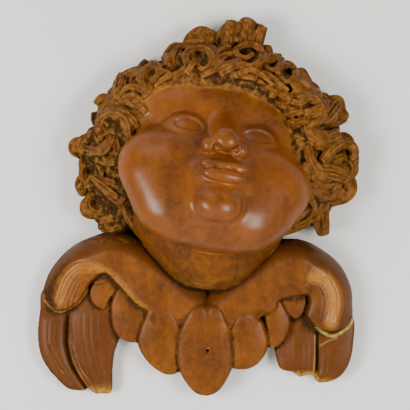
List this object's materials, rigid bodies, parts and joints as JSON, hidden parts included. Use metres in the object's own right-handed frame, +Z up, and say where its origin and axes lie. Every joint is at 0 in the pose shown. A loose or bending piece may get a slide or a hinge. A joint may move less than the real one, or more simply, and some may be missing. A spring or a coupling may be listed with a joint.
{
  "type": "winged cherub head wall carving",
  "caption": "Carved wooden cherub head with curled hair above a pair of folded wings, flat behind, to hang on a wall as an ornament.",
  "frame": {"origin": "on the flat back, behind the throat, at the middle of the carving's width and height", "axes": "+Z up the wall, +X to the right for someone facing the carving, +Y into the wall, so the face looks along -Y"},
  "size_m": [0.2554, 0.1042, 0.2994],
  "materials": {
    "carved_wood": "waxed and polished brown wood, dark in the hollows"
  },
  "bodies": {
    "root": {"winged_cherub_head": "carved_wood"}
  },
  "joints": []
}
